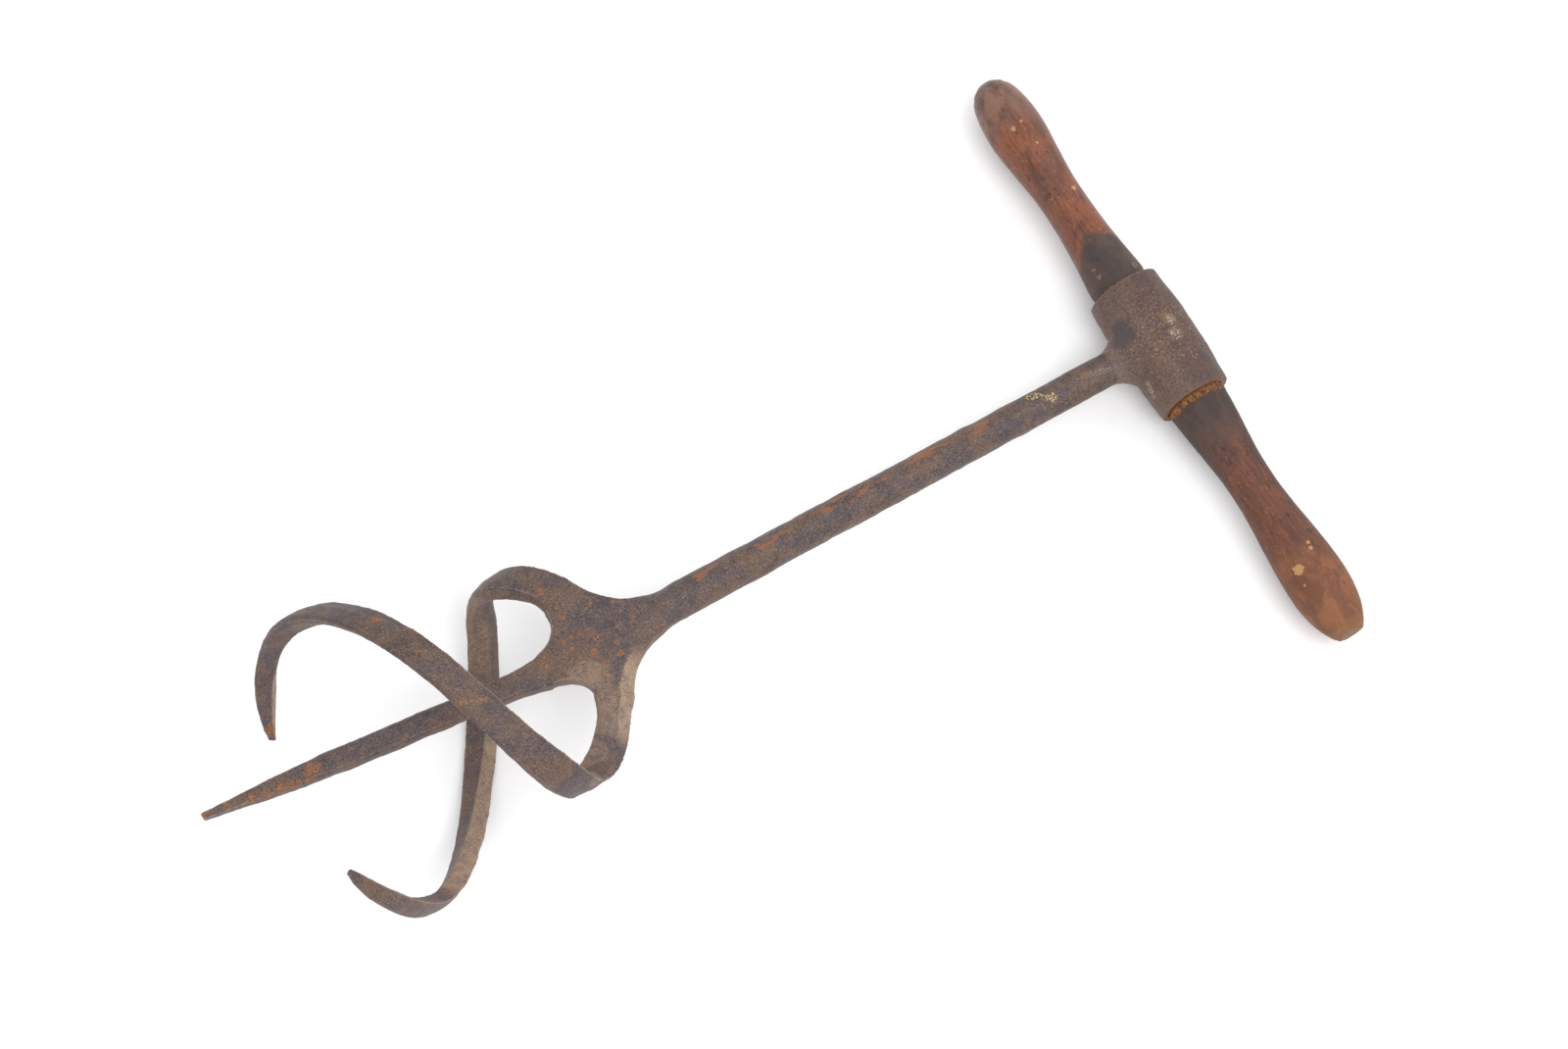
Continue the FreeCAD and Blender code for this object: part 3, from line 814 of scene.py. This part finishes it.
def crust_share(nodes, crackle, below_eye):
    """1 in the crust of rust on the wood at the eye's lower mouth."""
    below_mouth = nodes.math("SUBTRACT", EYE_CENTRE.y - EYE_HALF, nodes.part(nodes.place, "Y"))
    crust_edge = nodes.math("ADD", below_mouth, ragged_by(nodes, crackle, 1.6 * MM))
    return nodes.product(nodes.between(crust_edge, CRUST_LENGTH, CRUST_LENGTH * 0.7), below_eye)


def mouth_line(nodes, crackle):
    """1 in the thin line of rust on the wood at the eye's upper mouth."""
    above_mouth = nodes.math("SUBTRACT", nodes.part(nodes.place, "Y"), EYE_CENTRE.y + EYE_HALF)
    line_edge = nodes.math("ADD", above_mouth, ragged_by(nodes, crackle, 1.2 * MM))
    return nodes.product(nodes.between(line_edge, 1.5 * MM, 0.7 * MM),
                         nodes.between(above_mouth, -2.0 * MM, -1.0 * MM))


def wood_material():
    """Hand-worn reddish hardwood, stained dark beside the eye and bare at the cut end."""
    nodes = Nodes("worn_handle_wood")
    mottle = nodes.noise(8.0 * MM, detail=5.0, roughness=0.62, distortion=0.6,
                         place=nodes.stretched((1.0, 0.55, 1.0)))
    pores = nodes.noise(0.9 * MM, detail=2.0, roughness=0.6, place=nodes.stretched((1.0, 0.12, 1.0)))
    fibres = nodes.noise(0.8 * MM, detail=3.0, roughness=0.7, place=nodes.stretched((1.0, 0.3, 1.0)))
    crackle = nodes.noise(1.2 * MM, detail=2.0, roughness=0.6)
    cloud = nodes.noise(24.0 * MM, detail=3.0)
    below_eye = nodes.between(nodes.part(nodes.place, "Y"), EYE_CENTRE.y, EYE_LOW.y - 10.0 * MM)

    colour = wood_grain(nodes, mottle, cloud, crackle, pores, below_eye)
    stain = eye_stain(nodes, cloud)
    stain_colour = nodes.mix(nodes.between(mottle, 0.40, 0.62), DARK_STAIN, BROWN_STAIN)
    colour = nodes.painted(colour, stain, 0.9, stain_colour)
    colour = end_wear(nodes, colour, mottle, cloud)
    colour = wood_marks(nodes, colour, crackle)
    crust = crust_share(nodes, crackle, below_eye)
    crust_colour = nodes.mix(nodes.between(fibres, 0.38, 0.62), DARK_CRUST, PALE_CRUST)
    rusted = nodes.largest(crust, nodes.product(mouth_line(nodes, crackle), 0.75))
    colour = nodes.mix(rusted, colour, crust_colour)

    nodes.link(colour, nodes.shader.inputs["Base Color"])
    rough = nodes.math("ADD", nodes.product(mottle, 0.30), 0.24, clamp=True)
    duller = nodes.math("ADD", nodes.product(stain, 0.15), nodes.product(below_eye, 0.22))
    rough = nodes.math("ADD", rough, duller)
    nodes.link(nodes.largest(rough, nodes.product(crust, 0.95)), nodes.shader.inputs["Roughness"])
    nodes.shader.inputs["Specular IOR Level"].default_value = 0.32
    grain = nodes.bump(pores, 0.25, 0.15 * MM)
    dents = nodes.bump(mottle, 0.3, 0.6 * MM, after=grain)
    crusty = nodes.bump(nodes.product(crust, fibres), 0.9, 1.2 * MM, after=dents)
    nodes.link(crusty, nodes.shader.inputs["Normal"])
    return nodes.material


# ---------------------------------------------------------------- stage

def view_direction(azimuth, elevation):
    """From the object towards a viewer; azimuth 0 stands on the -Y side."""
    turn, lift = math.radians(azimuth), math.radians(elevation)
    return Vector((math.sin(turn) * math.cos(lift), -math.cos(turn) * math.cos(lift), math.sin(lift)))


def aim_point():
    """The middle of the view, which the lights look at too."""
    return Vector((HANDLE_MIDDLE.x, SHANK_AXIS_Y, HANDLE_MIDDLE.z)) + AIM_FROM_HANDLE


def add_floor():
    """A wide pale floor that everything rests on."""
    half = FLOOR_HALF
    corners = [(-half, -half, 0), (half, -half, 0), (half, half, 0), (-half, half, 0)]
    mesh = bpy.data.meshes.new("floor")
    mesh.from_pydata(corners, [], [(0, 1, 2, 3)])
    floor = new_object("floor", mesh)
    nodes = Nodes("pale_floor")
    nodes.shader.inputs["Base Color"].default_value = FLOOR_COLOUR
    nodes.shader.inputs["Roughness"].default_value = 0.9
    nodes.shader.inputs["Specular IOR Level"].default_value = 0.1
    mesh.materials.append(nodes.material)


def add_light(name, azimuth, elevation, distance, size, power):
    """A round soft light that looks at the middle of the view."""
    light = bpy.data.lights.new(name, "AREA")
    light.shape = "DISK"
    light.size = size
    light.energy = power
    lamp = new_object(name, light)
    towards = view_direction(azimuth, elevation)
    lamp.location = aim_point() + towards * distance
    lamp.rotation_mode = "QUATERNION"
    lamp.rotation_quaternion = towards.to_track_quat("Z", "Y")


def add_world():
    world = bpy.data.worlds.new("studio")
    world.use_nodes = True
    background = world.node_tree.nodes["Background"]
    background.inputs["Color"].default_value = WORLD_COLOUR
    background.inputs["Strength"].default_value = WORLD_STRENGTH
    bpy.context.scene.world = world


def add_camera():
    camera = bpy.data.cameras.new("camera")
    camera.lens = VIEW_LENS
    camera.sensor_width = SENSOR_WIDTH
    holder = new_object("camera", camera)
    back = view_direction(VIEW_AZIMUTH, VIEW_ELEVATION)
    holder.location = aim_point() + back * VIEW_DISTANCE
    holder.rotation_mode = "QUATERNION"
    upright = (-back).to_track_quat("-Z", "Y")
    holder.rotation_quaternion = upright @ Quaternion((0.0, 0.0, 1.0), math.radians(VIEW_ROLL))
    bpy.context.scene.camera = holder


iron = iron_skin()
iron.data.materials.clear()
iron.data.materials.append(iron_material())
handle = wooden_handle()
handle.data.materials.append(wood_material())
add_floor()
for light in LIGHTS:
    add_light(*light)
add_world()
add_camera()
bpy.context.scene.view_settings.view_transform = "Standard"
